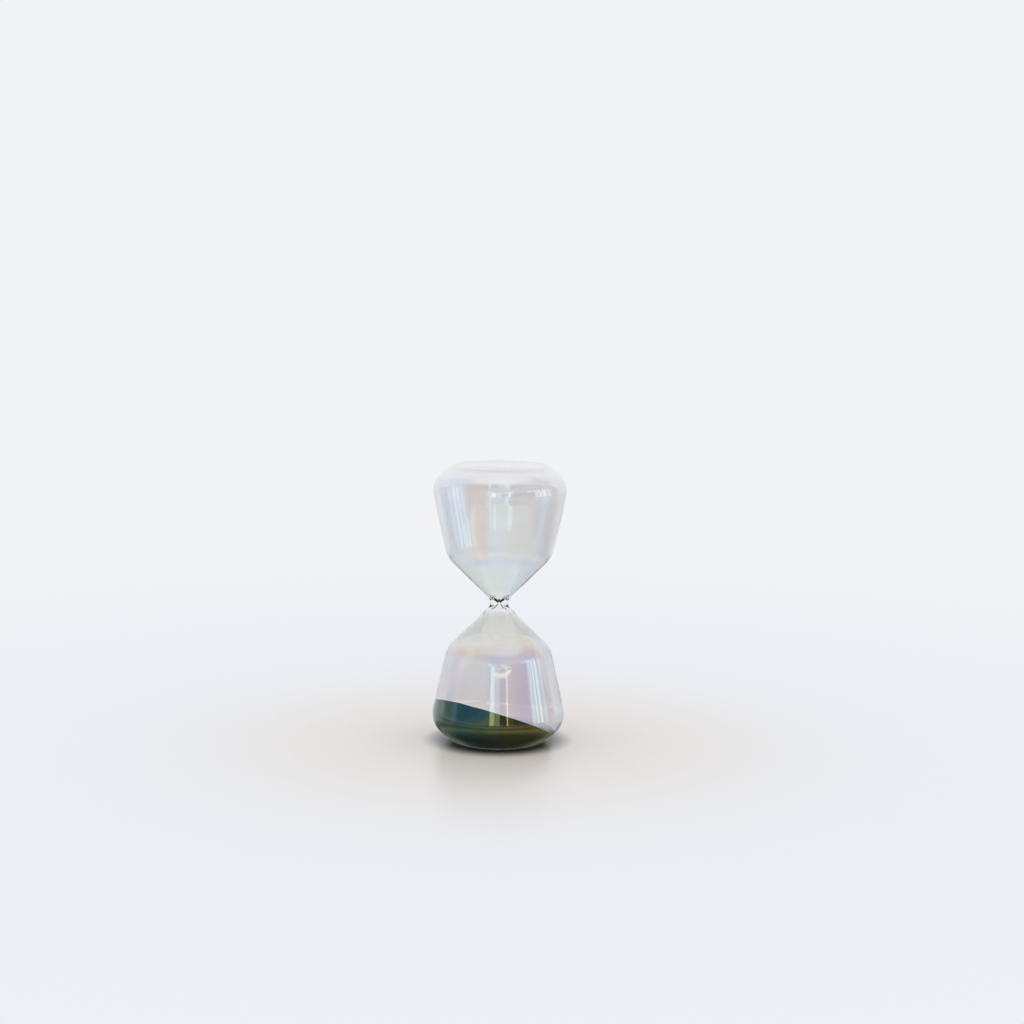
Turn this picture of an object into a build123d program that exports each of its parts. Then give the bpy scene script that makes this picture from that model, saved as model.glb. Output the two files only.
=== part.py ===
from build123d import *
import os

# An all-glass hourglass: two blown bulbs fused to a thick clear neck, a heap of loose sand in
# the lower bulb, and a soft stopper in the hole the sand was filled through.
# Millimetres, +Z up. The origin is the middle of the base, on the surface that it stands on.

# Overall size
HEIGHT = 215.0
HALF_HEIGHT = HEIGHT / 2  # from the waist plane to either flat end

# Outline of a bulb: corners as (radius, distance from the waist), each with its rounding
WAIST_CORNER = (7.1, 2.9)
SHOULDER_CORNER = (40.0, 35.3)
BELLY_CORNER = (53.06, 94.25)
END_CORNER = (35.2, HALF_HEIGHT)
END_CENTRE = (0.0, HALF_HEIGHT)
WAIST_ROUNDING = 5.0
SHOULDER_ROUNDING = 14.9
BELLY_ROUNDING = 17.4
END_ROUNDING = 4.9

# Glass
WALL = 2.0
PUNT_RADIUS = 27.0  # each flat end is dished inside this radius, so that it stands on a ring
PUNT_DEPTH = 1.6
NECK_REACH = 8.0  # the clear neck is fused to the bulbs this far each side of the waist
THROAT_RADIUS = 0.9  # the orifice that times the sand
THROAT_HALF_LENGTH = 0.5

# Fill hole and its stopper
FILL_HOLE_RADIUS = 4.5
FLANGE_RADIUS = 6.5
FLANGE_LIFT = 0.5  # the stopper stays this far above the surface that the glass stands on
FLANGE_ROUNDING = 0.35
SHANK_CHAMFER = 0.4

# Sand heap: its surface is a plane that slopes down from one side of the bulb to the other
SAND_GAP = 0.3
SAND_LEVEL = 16.0  # height of the surface on the axis
SAND_SLOPE = 23.8  # degrees from level
SAND_UPHILL = 225.35  # degrees round from +X to the side where the heap is highest

# Half sections are drawn in these planes as (radius, distance from the waist)
UPPER_SECTION = Plane(origin=(0, 0, HALF_HEIGHT), x_dir=(1, 0, 0), z_dir=(0, -1, 0))
LOWER_SECTION = Plane(origin=(0, 0, HALF_HEIGHT), x_dir=(1, 0, 0), z_dir=(0, 1, 0))


def inset_corners(inset):
    """Shoulder, belly and end corners of the bulb's outline, moved into the glass by inset."""
    outline = [WAIST_CORNER, SHOULDER_CORNER, BELLY_CORNER, END_CORNER, END_CENTRE]
    outline = [Vector(*corner) for corner in outline]
    moved = []
    for before, corner, after in zip(outline, outline[1:], outline[2:]):
        inward_before = (corner - before).normalized().rotate(Axis.Z, 90)
        inward_after = (after - corner).normalized().rotate(Axis.Z, 90)
        bisector = (inward_before + inward_after) / (1 + inward_before.dot(inward_after))
        moved.append(corner + bisector * inset)
    return moved


def cone_start(inset):
    """Where the bulb's cone meets the neck: outside it aims at the waist, inside at the throat."""
    aim = Vector(THROAT_RADIUS, THROAT_HALF_LENGTH) if inset else Vector(*WAIST_CORNER)
    shoulder = inset_corners(inset)[0]
    return aim + (shoulder - aim) * ((NECK_REACH - aim.Y) / (shoulder.Y - aim.Y))


def bulb_line(inset):
    """Half outline of a bulb, inset by that much, from the neck joint to the end's centre."""
    shoulder, belly, end = inset_corners(inset)
    end_level = HALF_HEIGHT - inset
    punt_edge = (PUNT_RADIUS, end_level)
    punt_middle = (PUNT_RADIUS / 2, end_level - PUNT_DEPTH / 2)
    punt_centre = (0, end_level - PUNT_DEPTH)
    roundings = [SHOULDER_ROUNDING - inset, BELLY_ROUNDING - inset, END_ROUNDING - inset]
    FilletPolyline(cone_start(inset), shoulder, belly, end, punt_edge, radius=roundings)
    TangentArc(punt_edge, punt_middle, tangent=(-1, 0))
    TangentArc(punt_centre, punt_middle, tangent=(1, 0))


def wall_section(section_plane):
    """Half section through the wall of one bulb, open where it meets the neck."""
    with BuildSketch(section_plane) as section:
        with BuildLine():
            bulb_line(0)
            bulb_line(WALL)
            Line(cone_start(0), cone_start(WALL))
            Line((0, HALF_HEIGHT - PUNT_DEPTH), (0, HALF_HEIGHT - WALL - PUNT_DEPTH))
        make_face()
    return section.sketch


# Upper bulb
with BuildPart() as upper_bulb:
    revolve(wall_section(UPPER_SECTION), axis=Axis.Z)

# Lower bulb, with the fill hole through the middle of its base
with BuildPart() as lower_bulb:
    revolve(wall_section(LOWER_SECTION), axis=Axis.Z)
    with BuildSketch(Plane.XY):
        Circle(FILL_HOLE_RADIUS)
    extrude(amount=2 * (PUNT_DEPTH + WALL), mode=Mode.SUBTRACT)

# Neck: outside a rounded waist, inside two cones that meet at the throat
with BuildPart() as neck:
    outer_rim = cone_start(0)
    inner_rim = cone_start(WALL)
    with BuildSketch(UPPER_SECTION):
        with BuildLine():
            FilletPolyline(
                outer_rim,
                WAIST_CORNER,
                (WAIST_CORNER[0], -WAIST_CORNER[1]),
                (outer_rim.X, -NECK_REACH),
                radius=WAIST_ROUNDING,
            )
            Polyline(
                (outer_rim.X, -NECK_REACH),
                (inner_rim.X, -NECK_REACH),
                (THROAT_RADIUS, -THROAT_HALF_LENGTH),
                (THROAT_RADIUS, THROAT_HALF_LENGTH),
                inner_rim,
                outer_rim,
            )
        make_face()
    revolve(axis=Axis.Z)

# Fill plug: a flange seated on the dished base and a shank that ends level with the floor
with BuildPart() as fill_plug:
    with BuildSketch(Plane.XY.offset(FLANGE_LIFT)):
        Circle(FLANGE_RADIUS)
    extrude(amount=PUNT_DEPTH)
    with BuildSketch(Plane.XY.offset(FLANGE_LIFT)):
        Circle(FILL_HOLE_RADIUS)
    extrude(amount=PUNT_DEPTH + WALL - FLANGE_LIFT)
    chamfer(fill_plug.faces().sort_by(Axis.Z)[-1].edges(), length=SHANK_CHAMFER)
    add(lower_bulb.part, mode=Mode.SUBTRACT)
    fillet(fill_plug.faces().sort_by(Axis.Z)[0].edges(), radius=FLANGE_ROUNDING)

# Sand: fills the bulb up to the sloping surface, just clear of the glass
with BuildPart() as sand:
    with BuildSketch(LOWER_SECTION):
        with BuildLine():
            bulb_line(WALL + SAND_GAP)
            sand_rim = cone_start(WALL + SAND_GAP)
            Line(sand_rim, (0, NECK_REACH))
            Line((0, NECK_REACH), (0, HALF_HEIGHT - WALL - SAND_GAP - PUNT_DEPTH))
        make_face()
    revolve(axis=Axis.Z)
    uphill = Vector(1, 0, 0).rotate(Axis.Z, SAND_UPHILL)
    across = uphill.rotate(Axis.Z, 90)
    surface_normal = Vector(0, 0, 1).rotate(Axis((0, 0, 0), across), -SAND_SLOPE)
    split(bisect_by=Plane(origin=(0, 0, SAND_LEVEL), z_dir=surface_normal), keep=Keep.BOTTOM)

upper_bulb.part.label = "upper_bulb"
lower_bulb.part.label = "lower_bulb"
neck.part.label = "neck"
fill_plug.part.label = "fill_plug"
sand.part.label = "sand"

os.makedirs("parts", exist_ok=True)
export_step(upper_bulb.part, "parts/upper_bulb.step")
export_step(lower_bulb.part, "parts/lower_bulb.step")
export_step(neck.part, "parts/neck.step")
export_step(fill_plug.part, "parts/fill_plug.step")
export_step(sand.part, "parts/sand.step")
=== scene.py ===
import cmath
import math

import bmesh
import bpy
import numpy as np
from mathutils import Euler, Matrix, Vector, noise


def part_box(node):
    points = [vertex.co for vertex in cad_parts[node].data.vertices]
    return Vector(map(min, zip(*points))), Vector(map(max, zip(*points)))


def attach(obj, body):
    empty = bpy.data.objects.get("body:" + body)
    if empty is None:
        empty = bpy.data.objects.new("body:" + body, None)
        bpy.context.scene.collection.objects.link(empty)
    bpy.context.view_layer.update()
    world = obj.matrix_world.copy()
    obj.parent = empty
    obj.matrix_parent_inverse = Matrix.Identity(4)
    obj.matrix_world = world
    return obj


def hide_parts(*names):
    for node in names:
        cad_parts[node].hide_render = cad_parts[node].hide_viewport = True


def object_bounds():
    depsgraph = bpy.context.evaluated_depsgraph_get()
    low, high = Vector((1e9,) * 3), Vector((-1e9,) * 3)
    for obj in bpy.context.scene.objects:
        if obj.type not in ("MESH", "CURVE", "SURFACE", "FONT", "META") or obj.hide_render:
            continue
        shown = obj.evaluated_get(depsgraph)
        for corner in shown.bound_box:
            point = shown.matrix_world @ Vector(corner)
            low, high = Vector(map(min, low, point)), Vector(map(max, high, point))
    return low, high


# An all-glass hourglass: two iridescent blown bulbs on a thick clear neck, with dark sand.
# Metres, +Z up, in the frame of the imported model, which stands on Z = 0.
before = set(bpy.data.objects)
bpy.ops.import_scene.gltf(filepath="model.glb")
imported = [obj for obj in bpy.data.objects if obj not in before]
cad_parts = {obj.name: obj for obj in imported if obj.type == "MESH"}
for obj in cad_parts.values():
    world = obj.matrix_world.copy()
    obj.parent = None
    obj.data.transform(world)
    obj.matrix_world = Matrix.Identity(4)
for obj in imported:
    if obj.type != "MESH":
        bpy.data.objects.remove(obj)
cad_low, cad_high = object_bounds()

MM = 0.001

# Places from the frame
HEIGHT = cad_high.z
HALF_HEIGHT = HEIGHT / 2
NECK_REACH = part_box("neck")[1].z - HALF_HEIGHT

# Bulb outline: corners as radius + distance from the waist * 1j, and the rounding at each
WAIST_CORNER = (7.1 + 2.9j) * MM
SHOULDER_CORNER = (40.0 + 35.3j) * MM
BELLY_CORNER = (53.06 + 94.25j) * MM
END_CORNER = 35.2 * MM + 1j * HALF_HEIGHT
WAIST_ROUNDING = 5.0 * MM
SHOULDER_ROUNDING = 14.9 * MM
BELLY_ROUNDING = 17.4 * MM
END_ROUNDING = 4.9 * MM

# Glass
WALL = 2.0 * MM
PUNT_RADIUS = 27.0 * MM
PUNT_DEPTH = 1.6 * MM
UPPER_DISH = 0.25 * MM  # the top is dished less than the base
OUTSIDE_WAVE = 0.06 * MM  # how far the blown surfaces wander from true
INSIDE_WAVE = 0.14 * MM
WAVE_LENGTH = 30 * MM
WAVE_FADE = 12 * MM  # the waves die out this near a joint or an end
WAVE_STRETCH = 0.6  # the waves run longer up the bulb than round it
RIPPLE_PITCH = 2.3  # quicker waves on the slow ones: how many times quicker, and their share
RIPPLE_SHARE = 0.4
BULGE = 0.3 * MM  # how far the straight walls swell out at their middle

# Neck: inside, two cones with a rounded funnel meet at the throat
FUNNEL_CORNER = (3.3 + 3.4j) * MM
FUNNEL_ROUNDING = 6.0 * MM
THROAT_CORNER = (0.9 + 0.5j) * MM
THROAT_ROUNDING = 0.5 * MM

# Stopper in the fill hole
FILL_HOLE_RADIUS = 4.5 * MM
FLANGE_RADIUS = 6.5 * MM
FLANGE_LIFT = 0.5 * MM
FLANGE_THICKNESS = 0.95 * MM
PLUG_ROUNDINGS = [0.4 * MM, 0.1 * MM, 0.1 * MM, 0.5 * MM]  # from the flange's face to the shank's

# Sand heap: its surface is a slightly uneven plane that slopes down across the bulb
SAND_GAP = 0.3 * MM
SAND_LEVEL = 16.0 * MM
SAND_SLOPE = math.tan(math.radians(23.8))
SAND_UPHILL = math.radians(225.35)
SWELL_LENGTH = 14 * MM
SWELL_HEIGHT = 0.35 * MM

# Grains
GRAIN = 0.45 * MM
GRAIN_SIZES = (0.55, 1.1)  # the smallest and the largest, as shares of GRAIN
GRAIN_TIPS = (0.65, 1.1)  # how far a grain's corners reach, as shares of its own radius
BUMP_LENGTH = 1.3 * GRAIN
SIDE_ROUGHNESS = 0.1 * MM
TOP_ROUGHNESS = 0.3 * MM
SURFACE_GRAINS = 4000
STREWN_GRAINS = 3000
SCATTER_RADIUS = 51 * MM
STREWN_REACH = 12 * MM  # how far beyond the heap's edge loose grains thin out
STREWN_TOP = 7 * MM
STREWN_LIFT = 0.65  # of a grain's size, from the glass to its middle
# Painted light: the strewn grains' colour is made this many times lighter
STREWN_PAINTED_LIGHT = 5.0  # single grains catch more light than grains in the heap

# Refractive indices
COATED_INDEX = 1.5
BARE_INDEX = 1.42  # lower than real glass, so that no light is caught inside the end plates
COAT_INDEX = 2.15
SILICONE_INDEX = 1.41

# Lustre coat: (degrees round from the front, nanometres), once round each part of a bulb
THICKEST = 300
DRIFT = 9  # the thickness wanders by up to this
DRIFT_SCALE = 22
UPPER_WALL_COAT = [(-180, 66), (-169, 62), (-147, 60), (-95, 85), (-67, 107), (-48, 103),
                   (-36, 98), (-29, 90), (-23, 50), (-16, 50), (-10, 84), (0, 90), (12, 78),
                   (25, 72), (34, 76), (41, 90), (50, 80), (90, 80), (140, 75), (165, 62),
                   (180, 66)]
UPPER_CONE_COAT = [(-180, 64), (-120, 64), (-80, 118), (-40, 125), (10, 124), (50, 112),
                   (80, 108), (120, 68), (180, 64)]
LOWER_CONE_COAT = [(-180, 52), (-120, 55), (-80, 125), (-40, 131), (0, 136), (60, 140),
                   (90, 130), (120, 65), (180, 52)]
LOWER_WALL_COAT = [(-180, 100), (-170, 142), (-150, 148), (-130, 155), (-110, 160), (-75, 195),
                   (-52, 190), (-40, 175), (-30, 163), (-13, 162), (-6, 186), (3, 192), (14, 195),
                   (32, 192), (50, 184), (75, 172), (120, 155), (148, 145), (160, 80), (172, 62),
                   (180, 100)]
LOWER_BELLY_COAT = [(-180, 150), (-110, 150), (-75, 200), (-52, 192), (-36, 180), (-22, 182),
                    (-8, 192), (4, 202), (16, 212), (34, 218), (55, 222), (80, 222),
                    (120, 180), (180, 150)]
UPPER_COATS = [UPPER_CONE_COAT, UPPER_WALL_COAT]
LOWER_COATS = [LOWER_CONE_COAT, LOWER_WALL_COAT, LOWER_BELLY_COAT]
# One coat turns into the next between these distances from the waist
UPPER_BLENDS = [(30 * MM, 41 * MM)]
LOWER_BLENDS = [(31 * MM, 44 * MM), (92 * MM, 100 * MM)]
LOWER_TILT = 0.29  # how much sooner they do so at the front, for each metre that is nearer

# Sand colours, as stops through the grains' random tones
SAND_TONES = [(0.0, (0.003, 0.008, 0.006)), (0.55, (0.007, 0.018, 0.013)),
              (0.85, (0.016, 0.036, 0.022)), (1.0, (0.06, 0.09, 0.05))]

# What is seen directly
BACKDROP_LOW = (0.825, 0.85, 0.895)
BACKDROP_HIGH = (0.885, 0.893, 0.925)
# The floor, by metres from the middle: a painted shadow under the glass, then pale, then the
# backdrop
FLOOR_TONES_AND_PAINTED_SHADOW = [(0.040, (0.03, 0.027, 0.024)), (0.058, (0.93, 0.865, 0.79))]
FLOOR_GLOW = [(0.3, BACKDROP_LOW), (1.0, BACKDROP_HIGH)]
FLOOR_FADE = (0.06, 0.34)
FLOOR_RADIUS = 12.0

# The room that is only seen reflected in the glass. Degrees are from the front and from level.
# Its walls, by share of the way round to the back
ROOM_WALLS = [(0.0, (0.28, 0.265, 0.255)), (0.4, (0.235, 0.225, 0.22)),
              (0.6, (0.26, 0.255, 0.26)), (0.92, (0.85, 0.86, 0.90))]
NEAR_SIDE = (-115, 115, 20)  # from, to and the softness of the edges
NO_EDGE = 200  # beyond straight up or, negative, straight down
ROOM_BANDS = [
    # lowest and highest edge, softness, whether it is on the near side only; colour
    (26, NO_EDGE, 4, True, (0.19, 0.175, 0.155)),  # top of the walls
    (58, NO_EDGE, 12, False, (0.60, 0.60, 0.60)),  # ceiling
    (-9, -5, 1, True, (0.09, 0.08, 0.07)),  # skirting
    (-NO_EDGE, -18, 4, False, (0.11, 0.12, 0.09)),  # floor
    (-42, -27, 1.5, False, (0.22, 0.24, 0.18)),  # edge of a rug
    (-36, -28, 1, True, (0.27, 0.34, 0.17)),  # rug
    # Painted shade: the floor under the glass, dark as in the glass's own shadow
    (-NO_EDGE, -50, 7, False, (0.06, 0.055, 0.05)),  # under the glass
]
PANE_SOFTNESS = (0.5, 0.15)  # of the upright and the level edges
PANES = [
    # left, right, lowest and highest edge; colour
    # Window in front and to the right, as the lower bulb shows it
    (27, 61, -4, 16.4, (0.06, 0.055, 0.045)),
    (-15, -7, -4, 16.4, (1.05, 1.15, 1.20)),
    (-7, 3, -4, 16.4, (0.50, 0.48, 0.43)),
    (3, 15.5, -4, 14.9, (0.07, 0.07, 0.07)),
    (3, 15.5, 15.1, 16.4, (0.50, 0.50, 0.48)),
    (15.5, 18, -4, 16.4, (1.25, 1.22, 1.10)),
    (18, 27, -4, 14.9, (0.17, 0.13, 0.07)),
    (18, 27, 15.1, 16.4, (0.70, 0.70, 0.70)),
    (-15, 27, 14.2, 14.6, (1.15, 1.20, 1.20)),
    (64, 71, -6, 16.4, (0.70, 0.74, 0.74)),
    (73, 77, -6, 16.4, (1.20, 1.28, 1.35)),
    (80, 87, -6, 16.4, (1.05, 1.10, 1.15)),
    (91, 99, -6, 16.4, (0.62, 0.66, 0.68)),
    # The same windows higher up, as the upper bulb shows them
    (20, 50, 16.4, 20, (0.13, 0.12, 0.11)),
    (-22, -14, 16.4, 20, (0.85, 1.10, 0.86)),
    (-14, 8, 16.4, 20, (0.34, 0.50, 0.31)),
    (8, 10.5, 16.4, 20, (1.00, 1.20, 1.00)),
    (10.5, 20, 16.4, 20, (0.43, 0.62, 0.38)),
    (50, 58, 16.4, 24, (0.70, 0.74, 0.74)),
    (61, 65, 16.4, 23, (1.20, 1.28, 1.35)),
    (68, 75, 16.4, 23, (1.05, 1.10, 1.15)),
    (80, 90, 16.4, 24, (0.62, 0.66, 0.68)),
    # Windows at the sides and behind
    (-90, -78, -6, 24, (0.36, 0.37, 0.38)),
    (-130, -112, -6, 28, (0.45, 0.46, 0.48)),
    (118, 134, -6, 28, (0.60, 0.62, 0.64)),
    # Reddish patch on the floor
    (-46, -30, -40, -24, (0.30, 0.16, 0.13)),
]

# Camera
SENSOR_WIDTH = 36
LENS = 64.7
CAMERA_PLACE = (7.6 * MM, -1.4016, 0.3411)
CAMERA_DOWN = math.radians(6.64)
CAMERA_ROLL = math.radians(-0.57)

# Mesh fineness
SEGMENTS = 256
ARC_STEP = math.radians(3)
RUN_STEP = 1.0 * MM
NECK_STEP = 0.5 * MM
DISH_STEPS = 24
SOFTENING = 8
ON_AXIS = 1e-4 * MM  # a point nearer than this to the axis is on it
SAND_SEGMENTS = 384
SAND_SIDE_RINGS = 90
SAND_TOP_RINGS = 110


# ---------------------------------------------------------------- camera
def add_camera():
    """A long lens, a little above the glass and almost level across."""
    data = bpy.data.cameras.new("camera")
    data.sensor_width = SENSOR_WIDTH
    data.lens = LENS
    camera = bpy.data.objects.new("camera", data)
    bpy.context.scene.collection.objects.link(camera)
    camera.location = CAMERA_PLACE
    camera.rotation_euler = Euler((math.radians(90) - CAMERA_DOWN, CAMERA_ROLL, 0), "XYZ")
    bpy.context.scene.camera = camera


# ---------------------------------------------------------------- outlines
def unit(value):
    """The direction of a complex number."""
    return value / abs(value)


def rounded_line(corners, roundings):
    """Points of a line through the corners, with a tangent arc at each one between its ends."""
    line = [corners[0]]
    for before, corner, after, rounding in zip(corners, corners[1:], corners[2:], roundings):
        back = unit(before - corner)
        ahead = unit(after - corner)
        half_angle = abs(cmath.phase(ahead / back)) / 2
        centre = corner + unit(back + ahead) * rounding / math.sin(half_angle)
        spoke = corner + back * rounding / math.tan(half_angle) - centre
        turn = cmath.phase((corner + ahead * rounding / math.tan(half_angle) - centre) / spoke)
        steps = max(3, math.ceil(abs(turn) / ARC_STEP))
        line += [centre + spoke * cmath.exp(1j * turn * k / steps) for k in range(steps + 1)]
    line.append(corners[-1])
    return line


def in_steps(line, step):
    """The line again in equal steps of about that length."""
    line = np.array(line)
    length = np.concatenate([[0], np.cumsum(np.abs(np.diff(line)))])
    at = np.linspace(0, length[-1], math.ceil(length[-1] / step) + 1)
    return [complex(value) for value in np.interp(at, length, line)]


def softened(line, passes):
    """The line with its turns eased into one another. Its ends stay where they are."""
    line = np.array(line)
    for _ in range(passes):
        line[1:-1] = (line[:-2] + 2 * line[1:-1] + line[2:]) / 4
    return [complex(value) for value in line]


def inset_corners(inset):
    """Shoulder, belly and end corners of the bulb's outline, moved into the glass by inset."""
    outline = [WAIST_CORNER, SHOULDER_CORNER, BELLY_CORNER, END_CORNER, 1j * HALF_HEIGHT]
    moved = []
    for before, corner, after in zip(outline, outline[1:], outline[2:]):
        inward_before = unit(corner - before) * 1j
        inward_after = unit(after - corner) * 1j
        share = 1 + (inward_before * inward_after.conjugate()).real
        moved.append(corner + (inward_before + inward_after) * inset / share)
    return moved


def cone_start(inset):
    """Where a bulb's cone meets the neck: outside it aims at the waist, inside at the throat."""
    aim = THROAT_CORNER if inset else WAIST_CORNER
    shoulder = inset_corners(inset)[0]
    return aim + (shoulder - aim) * (NECK_REACH - aim.imag) / (shoulder.imag - aim.imag)


def bulb_line(inset, inner_radius=0.0, dish=PUNT_DEPTH):
    """Half outline of a bulb, from the neck joint to the end's centre or a hole's edge."""
    shoulder, belly, end = inset_corners(inset)
    level = HALF_HEIGHT - inset
    roundings = [SHOULDER_ROUNDING - inset, BELLY_ROUNDING - inset, END_ROUNDING - inset]
    rim = complex(PUNT_RADIUS, level)
    line = rounded_line([cone_start(inset), shoulder, belly, end, rim], roundings)
    for k in range(1, DISH_STEPS + 1):
        radius = PUNT_RADIUS + (inner_radius - PUNT_RADIUS) * k / DISH_STEPS
        dip = dish * (1 + math.cos(math.pi * radius / PUNT_RADIUS)) / 2
        line.append(complex(radius, level - dip))
    return softened(in_steps(line, RUN_STEP), SOFTENING)


# ---------------------------------------------------------------- meshes
def finished_mesh(name, bm, materials, sharp=40):
    """Make an object of the mesh, smooth except at edges sharper than that many degrees."""
    bmesh.ops.recalc_face_normals(bm, faces=bm.faces)
    for face in bm.faces:
        face.smooth = True
    mesh = bpy.data.meshes.new(name)
    bm.to_mesh(mesh)
    bm.free()
    mesh.set_sharp_from_angle(angle=math.radians(sharp))
    for material in materials:
        mesh.materials.append(material)
    piece = bpy.data.objects.new(name, mesh)
    bpy.context.scene.collection.objects.link(piece)
    return piece


def no_wave(out, point):
    """The wave of a surface that is true."""
    return 0.0


def lathe(name, line, side, materials, material_of=lambda index: 0, wave=no_wave):
    """Turn a half section into a closed mesh. side is 1 above the waist and -1 below it."""
    bm = bmesh.new()
    rings = []
    for point in line:
        height = HALF_HEIGHT + side * point.imag
        if point.real < ON_AXIS:
            rings.append([bm.verts.new((0, 0, height))])
            continue
        ring = []
        for k in range(SEGMENTS):
            turn = 2 * math.pi * k / SEGMENTS
            out = Vector((math.sin(turn), -math.cos(turn), 0))
            radius = point.real + wave(out, point)
            ring.append(bm.verts.new(out * radius + Vector((0, 0, height))))
        rings.append(ring)
    for index, (ring, other) in enumerate(zip(rings, rings[1:] + rings[:1])):
        if len(ring) == 1 and len(other) == 1:
            continue
        for k in range(SEGMENTS):
            after = (k + 1) % SEGMENTS
            if len(ring) == 1:
                corners = (ring[0], other[after], other[k])
            elif len(other) == 1:
                corners = (ring[k], ring[after], other[0])
            else:
                corners = (ring[k], ring[after], other[after], other[k])
            bm.faces.new(corners).material_index = material_of(index)
    return finished_mesh(name, bm, materials)


def blown_wave(amount, seed, side):
    """A slow unevenness of a blown surface, which dies out at the joint and the end ring."""
    def wave(out, point):
        room = min(point.imag - NECK_REACH, HALF_HEIGHT - point.imag) / WAVE_FADE
        fade = min(1, max(0, room))
        up = Vector((0, 0, side * point.imag * WAVE_STRETCH))
        place = (out * point.real + up) / WAVE_LENGTH
        slow = noise.noise(place + Vector((seed, 0, 0)))
        quick = noise.noise(place * RIPPLE_PITCH + Vector((0, seed, 0)))
        along_wall = (point.imag - SHOULDER_CORNER.imag) / (BELLY_CORNER - SHOULDER_CORNER).imag
        swell = BULGE * max(0, 1 - (2 * along_wall - 1) ** 2)
        return swell + amount * fade * (slow + RIPPLE_SHARE * quick)
    return wave


def add_bulb(name, side, coat, bare, joint, hole_radius=0.0, dish=PUNT_DEPTH):
    """A blown bulb: coated outside, bare inside, and open through to the glass of the neck."""
    outside = bulb_line(0, hole_radius, dish)
    inside = bulb_line(WALL, hole_radius, dish)
    line = outside + inside[::-1]
    outer_points = set(outside)
    outer_wave = blown_wave(OUTSIDE_WAVE, 3.7 * side, side)
    inner_wave = blown_wave(INSIDE_WAVE, 9.1 * side, side)

    def wave(out, point):
        return outer_wave(out, point) if point in outer_points else inner_wave(out, point)

    def material_of(index):
        if index < len(outside) - 1:
            return 0
        return 2 if index == len(line) - 1 else 1

    return lathe(name, line, side, [coat, bare, joint], material_of, wave)


def add_neck(bare, joint):
    """The thick clear joint: a rounded waist outside and two cones inside."""
    outer_rim = cone_start(0)
    inner_rim = cone_start(WALL)
    outside = rounded_line(
        [outer_rim.conjugate(), WAIST_CORNER.conjugate(), WAIST_CORNER, outer_rim],
        [WAIST_ROUNDING, WAIST_ROUNDING],
    )
    inside = rounded_line(
        [inner_rim, FUNNEL_CORNER, THROAT_CORNER, THROAT_CORNER.conjugate(),
         FUNNEL_CORNER.conjugate(), inner_rim.conjugate()],
        [FUNNEL_ROUNDING, THROAT_ROUNDING, THROAT_ROUNDING, FUNNEL_ROUNDING],
    )
    outside = in_steps(outside, NECK_STEP)
    line = outside + in_steps(inside, NECK_STEP)
    joints = (len(outside) - 1, len(line) - 1)
    return lathe("neck_glass", line, 1, [bare, joint], lambda index: int(index in joints))


def add_plug(material):
    """The stopper: a thin rounded flange under the base and a shank up to the floor."""
    face = HALF_HEIGHT - FLANGE_LIFT
    seat = face - FLANGE_THICKNESS
    shank_end = HALF_HEIGHT - PUNT_DEPTH - WALL
    corners = [
        complex(0, face),
        complex(FLANGE_RADIUS, face),
        complex(FLANGE_RADIUS, seat),
        complex(FILL_HOLE_RADIUS, seat),
        complex(FILL_HOLE_RADIUS, shank_end),
        complex(0, shank_end),
    ]
    line = rounded_line(corners, PLUG_ROUNDINGS)
    return lathe("fill_plug_silicone", line, -1, [material])


# ---------------------------------------------------------------- sand
def surface_height(x, y):
    """Height of the heap's surface: a plane with a slight unevenness."""
    uphill = x * math.cos(SAND_UPHILL) + y * math.sin(SAND_UPHILL)
    slow = noise.noise(Vector((x, y, 0)) / SWELL_LENGTH) * SWELL_HEIGHT
    return SAND_LEVEL + SAND_SLOPE * uphill + slow


def grain_bump(place, amount):
    """Small bumps the size of the grains."""
    return noise.noise(place / BUMP_LENGTH) * amount


def add_sand(material):
    """The heap: the inside of the bulb up to the sloping surface, closed by that surface."""
    line = np.array(bulb_line(WALL + SAND_GAP)[::-1])
    steps = range(len(line))
    radii = line.real
    heights = HALF_HEIGHT - line.imag
    bm = bmesh.new()
    bottom = bm.verts.new((0, 0, heights[0]))
    rings = [[] for _ in range(SAND_SIDE_RINGS + SAND_TOP_RINGS)]
    for k in range(SAND_SEGMENTS):
        turn = 2 * math.pi * k / SAND_SEGMENTS
        x, y = math.sin(turn), -math.cos(turn)
        above = [h - surface_height(r * x, r * y) for r, h in zip(radii, heights)]
        first = next(i for i, gap in enumerate(above) if gap > 0)
        reach = first - 1 + above[first - 1] / (above[first - 1] - above[first])
        for ring in range(SAND_SIDE_RINGS):
            # The rings lie a little closer together towards the rim
            at = reach * ((ring + 1) / SAND_SIDE_RINGS) ** 0.9
            r = np.interp(at, steps, radii)
            place = Vector((r * x, r * y, np.interp(at, steps, heights)))
            inward = Vector((-x, -y, 0.4)) * abs(grain_bump(place, SIDE_ROUGHNESS))
            rings[ring].append(bm.verts.new(place + inward))
        edge = np.interp(reach, steps, radii)
        for ring in range(SAND_TOP_RINGS):
            r = edge * (1 - (ring + 1) / (SAND_TOP_RINGS + 1))
            place = Vector((r * x, r * y, surface_height(r * x, r * y)))
            lift = Vector((0, 0, grain_bump(place, TOP_ROUGHNESS)))
            rings[SAND_SIDE_RINGS + ring].append(bm.verts.new(place + lift))
    top = bm.verts.new((0, 0, surface_height(0, 0)))
    for k in range(SAND_SEGMENTS):
        after = (k + 1) % SAND_SEGMENTS
        bm.faces.new((bottom, rings[0][after], rings[0][k]))
        bm.faces.new((top, rings[-1][k], rings[-1][after]))
        for ring, other in zip(rings, rings[1:]):
            bm.faces.new((ring[k], ring[after], other[after], other[k]))
    return finished_mesh("sand_heap", bm, [material], sharp=60)


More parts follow.
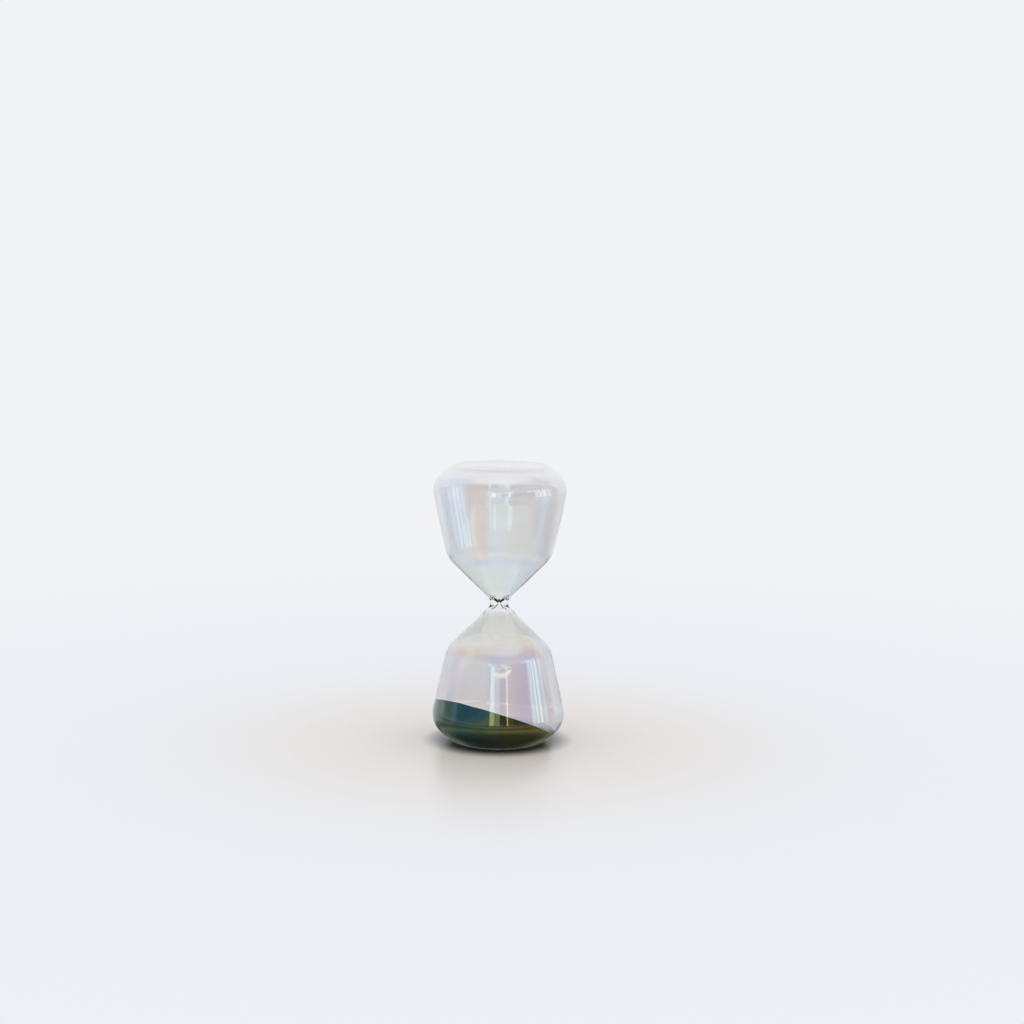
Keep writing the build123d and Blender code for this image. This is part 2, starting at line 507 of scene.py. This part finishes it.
def add_grain(bm, place, size, rng):
    """One grain: a small uneven lump with eight sides."""
    turn = Euler(rng.uniform(0, 2 * math.pi, 3)).to_matrix()
    tips = []
    for tip in ((1, 0, 0), (-1, 0, 0), (0, 1, 0), (0, -1, 0), (0, 0, 1), (0, 0, -1)):
        stretched = Vector(tip) * size / 2 * rng.uniform(*GRAIN_TIPS)
        tips.append(bm.verts.new(place + turn @ stretched))
    for i in (0, 1):
        for j in (2, 3):
            for k in (4, 5):
                bm.faces.new((tips[i], tips[j], tips[k]))


def add_grains(name, material, amount, on_heap, seed):
    """Loose grains: on the heap's surface, or strewn on the bare glass floor beside it."""
    rng = np.random.default_rng(seed)
    line = np.array(bulb_line(WALL)[::-1])
    lowest = np.argmax(line.imag)
    widest = np.argmax(line.real)
    bm = bmesh.new()
    made = 0
    while made < amount:
        radius = SCATTER_RADIUS * math.sqrt(rng.random())
        turn = 2 * math.pi * rng.random()
        x, y = radius * math.cos(turn), radius * math.sin(turn)
        size = GRAIN * rng.uniform(*GRAIN_SIZES)
        floor = HALF_HEIGHT - np.interp(radius, line.real[:widest], line.imag[:widest])
        heap = surface_height(x, y)
        wall = np.interp(heap, HALF_HEIGHT - line.imag[lowest:], line.real[lowest:])
        if on_heap and heap > floor + size and radius < wall - SAND_GAP - size:
            add_grain(bm, Vector((x, y, heap)), size, rng)
            made += 1
        beyond = (floor - heap) / SAND_SLOPE
        thinning = math.exp(-beyond / STREWN_REACH)
        if not on_heap and beyond > 0 and floor < STREWN_TOP and rng.random() < thinning:
            add_grain(bm, Vector((x, y, floor + STREWN_LIFT * size)), size, rng)
            made += 1
    return finished_mesh(name, bm, [material], sharp=20)


# ---------------------------------------------------------------- node helpers
def new_material(name):
    """A material with its node tree and its Principled shader."""
    material = bpy.data.materials.new(name)
    material.use_nodes = True
    tree = material.node_tree
    return material, tree, tree.nodes["Principled BSDF"]


def math_node(tree, operation, first, second=0.0, third=0.0):
    """A Math node fed by sockets or numbers. Returns its output."""
    node = tree.nodes.new("ShaderNodeMath")
    node.operation = operation
    for socket, value in zip(node.inputs, (first, second, third)):
        if isinstance(value, (int, float)):
            socket.default_value = value
        else:
            tree.links.new(value, socket)
    return node.outputs[0]


def map_range(tree, value, start, end, low=0.0, high=1.0, smooth=True):
    """value carried from start..end over to low..high and held there. Returns the output."""
    node = tree.nodes.new("ShaderNodeMapRange")
    node.interpolation_type = "SMOOTHSTEP" if smooth else "LINEAR"
    node.inputs["From Min"].default_value = start
    node.inputs["From Max"].default_value = end
    node.inputs["To Min"].default_value = low
    node.inputs["To Max"].default_value = high
    tree.links.new(value, node.inputs[0])
    return node.outputs[0]


def curve_node(tree, value, points):
    """A Float Curve from 0 to 1 through the points. Returns its output."""
    node = tree.nodes.new("ShaderNodeFloatCurve")
    curve = node.mapping.curves[0]
    for point in points[1:-1]:
        curve.points.new(*point)
    curve.points[0].location = points[0]
    curve.points[-1].location = points[-1]
    node.mapping.update()
    tree.links.new(value, node.inputs["Value"])
    return node.outputs[0]


def colour_ramp(tree, value, stops):
    """A ramp through (position, (r, g, b)) stops. Returns its colour output."""
    node = tree.nodes.new("ShaderNodeValToRGB")
    while len(node.color_ramp.elements) < len(stops):
        node.color_ramp.elements.new(0.5)
    for element, (position, colour) in zip(node.color_ramp.elements, stops):
        element.position = position
        element.color = (*colour, 1)
    tree.links.new(value, node.inputs[0])
    return node.outputs[0]


def mixed(tree, share, first, second):
    """Mix of two colours, each a socket or an (r, g, b). Returns its output."""
    node = tree.nodes.new("ShaderNodeMix")
    node.data_type = "RGBA"
    tree.links.new(share, node.inputs["Factor"])
    for socket, colour in ((node.inputs["A"], first), (node.inputs["B"], second)):
        if isinstance(colour, tuple):
            socket.default_value = (*colour, 1)
        else:
            tree.links.new(colour, socket)
    return node.outputs["Result"]


def band(tree, value, low, high, soft):
    """1 where value is between low and high, with soft edges, and 0 elsewhere."""
    rise = map_range(tree, value, low - soft, low + soft)
    fall = map_range(tree, value, high - soft, high + soft, 1, 0)
    return math_node(tree, "MULTIPLY", rise, fall)


def add_bump(tree, shader, height, strength, distance, invert=False):
    """Bump the shader's normal by that height."""
    bump = tree.nodes.new("ShaderNodeBump")
    bump.inputs["Strength"].default_value = strength
    bump.inputs["Distance"].default_value = distance
    bump.invert = invert
    tree.links.new(height, bump.inputs["Height"])
    tree.links.new(bump.outputs[0], shader.inputs["Normal"])


# ---------------------------------------------------------------- materials
def set_glass(shader, index):
    """Smooth colourless glass of that refractive index."""
    shader.inputs["Base Color"].default_value = (1, 0.998, 0.992, 1)
    shader.inputs["Transmission Weight"].default_value = 1
    shader.inputs["Roughness"].default_value = 0
    shader.inputs["IOR"].default_value = index


def lustre_glass(name, coats, blends, seed, tilt=0.0):
    """Glass under a lustre coat, whose thickness in nanometres wanders over the bulb.

    Each coat lists (degrees round from the front, thickness) once round the bulb, from the
    back by the left to the back again. One turns into the next between two distances from
    the waist, along a line with that tilt.
    """
    material, tree, shader = new_material(name)
    set_glass(shader, COATED_INDEX)
    shader.inputs["Thin Film IOR"].default_value = COAT_INDEX
    place = tree.nodes.new("ShaderNodeTexCoord").outputs["Object"]
    split = tree.nodes.new("ShaderNodeSeparateXYZ")
    tree.links.new(place, split.inputs[0])
    front = math_node(tree, "MULTIPLY", split.outputs["Y"], -1)
    azimuth = math_node(tree, "ARCTAN2", split.outputs["X"], front)
    turn_share = math_node(tree, "MULTIPLY_ADD", azimuth, 0.5 / math.pi, 0.5)
    from_waist = math_node(tree, "SUBTRACT", split.outputs["Z"], HALF_HEIGHT)
    from_waist = math_node(tree, "ABSOLUTE", from_waist)
    from_waist = math_node(tree, "MULTIPLY_ADD", front, tilt, from_waist)
    amounts = [
        curve_node(tree, turn_share, [(turn / 360 + 0.5, nm / THICKEST) for turn, nm in coat])
        for coat in coats
    ]
    amount = amounts[0]
    for following, (first, last) in zip(amounts[1:], blends):
        blend = tree.nodes.new("ShaderNodeMix")
        tree.links.new(map_range(tree, from_waist, first, last), blend.inputs["Factor"])
        tree.links.new(amount, blend.inputs["A"])
        tree.links.new(following, blend.inputs["B"])
        amount = blend.outputs["Result"]
    drift = tree.nodes.new("ShaderNodeTexNoise")
    drift.noise_dimensions = "4D"
    drift.inputs["W"].default_value = seed
    drift.inputs["Scale"].default_value = DRIFT_SCALE
    drift.inputs["Detail"].default_value = 1.5
    tree.links.new(place, drift.inputs["Vector"])
    wander = math_node(tree, "MULTIPLY_ADD", drift.outputs[0], 2 * DRIFT, -DRIFT)
    thickness = math_node(tree, "MULTIPLY_ADD", amount, THICKEST, wander)
    tree.links.new(thickness, shader.inputs["Thin Film Thickness"])
    return material


def bare_glass():
    """Plain clear glass, inside the bulbs and all over the neck."""
    material, _, shader = new_material("clear_glass")
    set_glass(shader, BARE_INDEX)
    return material


def fused_joint():
    """The plane where neck and bulb are one piece of glass: light passes as if it isn't there."""
    material, tree, shader = new_material("fused_joint")
    tree.nodes.remove(shader)
    through = tree.nodes.new("ShaderNodeBsdfTransparent")
    tree.links.new(through.outputs[0], tree.nodes["Material Output"].inputs["Surface"])
    return material


def silicone():
    """Cloudy clear silicone, with a faint moulded unevenness."""
    material, tree, shader = new_material("cloudy_silicone")
    shader.inputs["Base Color"].default_value = (0.86, 0.88, 0.88, 1)
    shader.inputs["Transmission Weight"].default_value = 0.7
    shader.inputs["Roughness"].default_value = 0.35
    shader.inputs["IOR"].default_value = SILICONE_INDEX
    speckle = tree.nodes.new("ShaderNodeTexNoise")
    speckle.inputs["Scale"].default_value = 900
    add_bump(tree, shader, speckle.outputs[0], 0.1, 0.1 * MM)
    return material


def dark_sand(name, painted_lightness=1.0):
    """Near-black green grains, each a little different, with a few bright facets."""
    material, tree, shader = new_material(name)
    place = tree.nodes.new("ShaderNodeTexCoord").outputs["Object"]
    grains = tree.nodes.new("ShaderNodeTexVoronoi")
    grains.inputs["Scale"].default_value = 1 / GRAIN
    tree.links.new(place, grains.inputs["Vector"])
    tone = tree.nodes.new("ShaderNodeSeparateColor")
    tree.links.new(grains.outputs["Color"], tone.inputs[0])
    # Above 1 this paints light into the grains' colour, for a lit copy
    stops = [(at, tuple(part * painted_lightness for part in colour)) for at, colour in SAND_TONES]
    tree.links.new(colour_ramp(tree, tone.outputs[0], stops), shader.inputs["Base Color"])
    roughness = map_range(tree, tone.outputs[1], 0, 1, 0.25, 0.75, smooth=False)
    tree.links.new(roughness, shader.inputs["Roughness"])
    add_bump(tree, shader, grains.outputs["Distance"], 0.6, 0.2 * MM, invert=True)
    return material


# ---------------------------------------------------------------- stage
def add_floor():
    """A wide pale floor with a painted shadow under the glass, which fades into the backdrop."""
    material, tree, shader = new_material("floor")
    geometry = tree.nodes.new("ShaderNodeNewGeometry")
    length = tree.nodes.new("ShaderNodeVectorMath")
    length.operation = "LENGTH"
    tree.links.new(geometry.outputs["Position"], length.inputs[0])
    distance = length.outputs["Value"]
    # Painted shadow: the floor's colour is near black right round the glass
    tree.links.new(colour_ramp(tree, distance, FLOOR_TONES_AND_PAINTED_SHADOW), shader.inputs["Base Color"])
    shader.inputs["Roughness"].default_value = 0.28
    glow = tree.nodes.new("ShaderNodeEmission")
    tree.links.new(colour_ramp(tree, distance, FLOOR_GLOW), glow.inputs[0])
    mix = tree.nodes.new("ShaderNodeMixShader")
    tree.links.new(map_range(tree, distance, *FLOOR_FADE), mix.inputs[0])
    tree.links.new(shader.outputs[0], mix.inputs[1])
    tree.links.new(glow.outputs[0], mix.inputs[2])
    tree.links.new(mix.outputs[0], tree.nodes["Material Output"].inputs["Surface"])
    bm = bmesh.new()
    bmesh.ops.create_circle(bm, cap_ends=True, segments=128, radius=FLOOR_RADIUS)
    floor = finished_mesh("floor", bm, [material])
    floor.visible_glossy = False


def add_world():
    """A pale backdrop, and for reflections a dimmer room with tall windows round it."""
    world = bpy.data.worlds.new("studio")
    bpy.context.scene.world = world
    world.use_nodes = True
    tree = world.node_tree
    direction = tree.nodes.new("ShaderNodeTexCoord").outputs["Generated"]
    split = tree.nodes.new("ShaderNodeSeparateXYZ")
    tree.links.new(direction, split.inputs[0])
    elevation = math_node(tree, "DEGREES", math_node(tree, "ARCSINE", split.outputs["Z"]))
    front = math_node(tree, "MULTIPLY", split.outputs["Y"], -1)
    azimuth = math_node(tree, "DEGREES", math_node(tree, "ARCTAN2", split.outputs["X"], front))

    # The room is dim in front and pale behind, between a dark floor and a light ceiling
    behind = math_node(tree, "DIVIDE", math_node(tree, "ABSOLUTE", azimuth), 180)
    room = colour_ramp(tree, behind, ROOM_WALLS)
    near_side = band(tree, azimuth, *NEAR_SIDE)
    for low, high, soft, near_only, colour in ROOM_BANDS:
        share = band(tree, elevation, low, high, soft)
        if near_only:
            share = math_node(tree, "MULTIPLY", near_side, share)
        room = mixed(tree, share, room, colour)
    for left, right, low, high, colour in PANES:
        upright, level = PANE_SOFTNESS
        pane = math_node(tree, "MULTIPLY", band(tree, azimuth, left, right, upright),
                         band(tree, elevation, low, high, level))
        room = mixed(tree, pane, room, colour)

    path = tree.nodes.new("ShaderNodeLightPath")
    reflected = math_node(tree, "GREATER_THAN", path.outputs["Glossy Depth"], 0.5)
    seen = mixed(tree, reflected, BACKDROP_HIGH, room)
    tree.links.new(seen, tree.nodes["Background"].inputs["Color"])
    world.cycles.sampling_method = "NONE"


# ---------------------------------------------------------------- the hourglass
def add_hourglass():
    """Every piece, with the body it rides on, the node it stands for and its finish."""
    bare = bare_glass()
    joint = fused_joint()
    upper_coat = lustre_glass("upper_lustre", UPPER_COATS, UPPER_BLENDS, 2.0)
    lower_coat = lustre_glass("lower_lustre", LOWER_COATS, LOWER_BLENDS, 5.0, LOWER_TILT)
    upper_bulb = add_bulb("upper_bulb_glass", 1, upper_coat, bare, joint, dish=UPPER_DISH)
    lower_bulb = add_bulb("lower_bulb_glass", -1, lower_coat, bare, joint, FILL_HOLE_RADIUS)
    neck = add_neck(bare, joint)
    plug = add_plug(silicone())
    sand = dark_sand("dark_sand")
    # A lit copy of the sand, with painted light in its colour, for the strewn grains
    strewn_sand_painted_light = dark_sand("strewn_sand_painted_light", STREWN_PAINTED_LIGHT)
    heap = add_sand(sand)
    surface_grains = add_grains("surface_grains", sand, SURFACE_GRAINS, True, 11)
    strewn_grains = add_grains("strewn_grains", strewn_sand_painted_light, STREWN_GRAINS, False, 12)
    pieces = [
        (upper_bulb, "glass", "upper_bulb", "iridescent_glass"),
        (lower_bulb, "glass", "lower_bulb", "iridescent_glass"),
        (neck, "glass", "neck", "clear_glass"),
        (plug, "glass", "fill_plug", "silicone"),
        (heap, "sand", "sand", "sand"),
        (surface_grains, "sand", None, "sand"),
        (strewn_grains, "sand", None, "sand"),
    ]
    for piece, body, node, finish in pieces:
        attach(piece, body)
        if node:
            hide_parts(node)


add_camera()
add_world()
add_floor()
add_hourglass()
bpy.context.scene.view_settings.view_transform = "Standard"
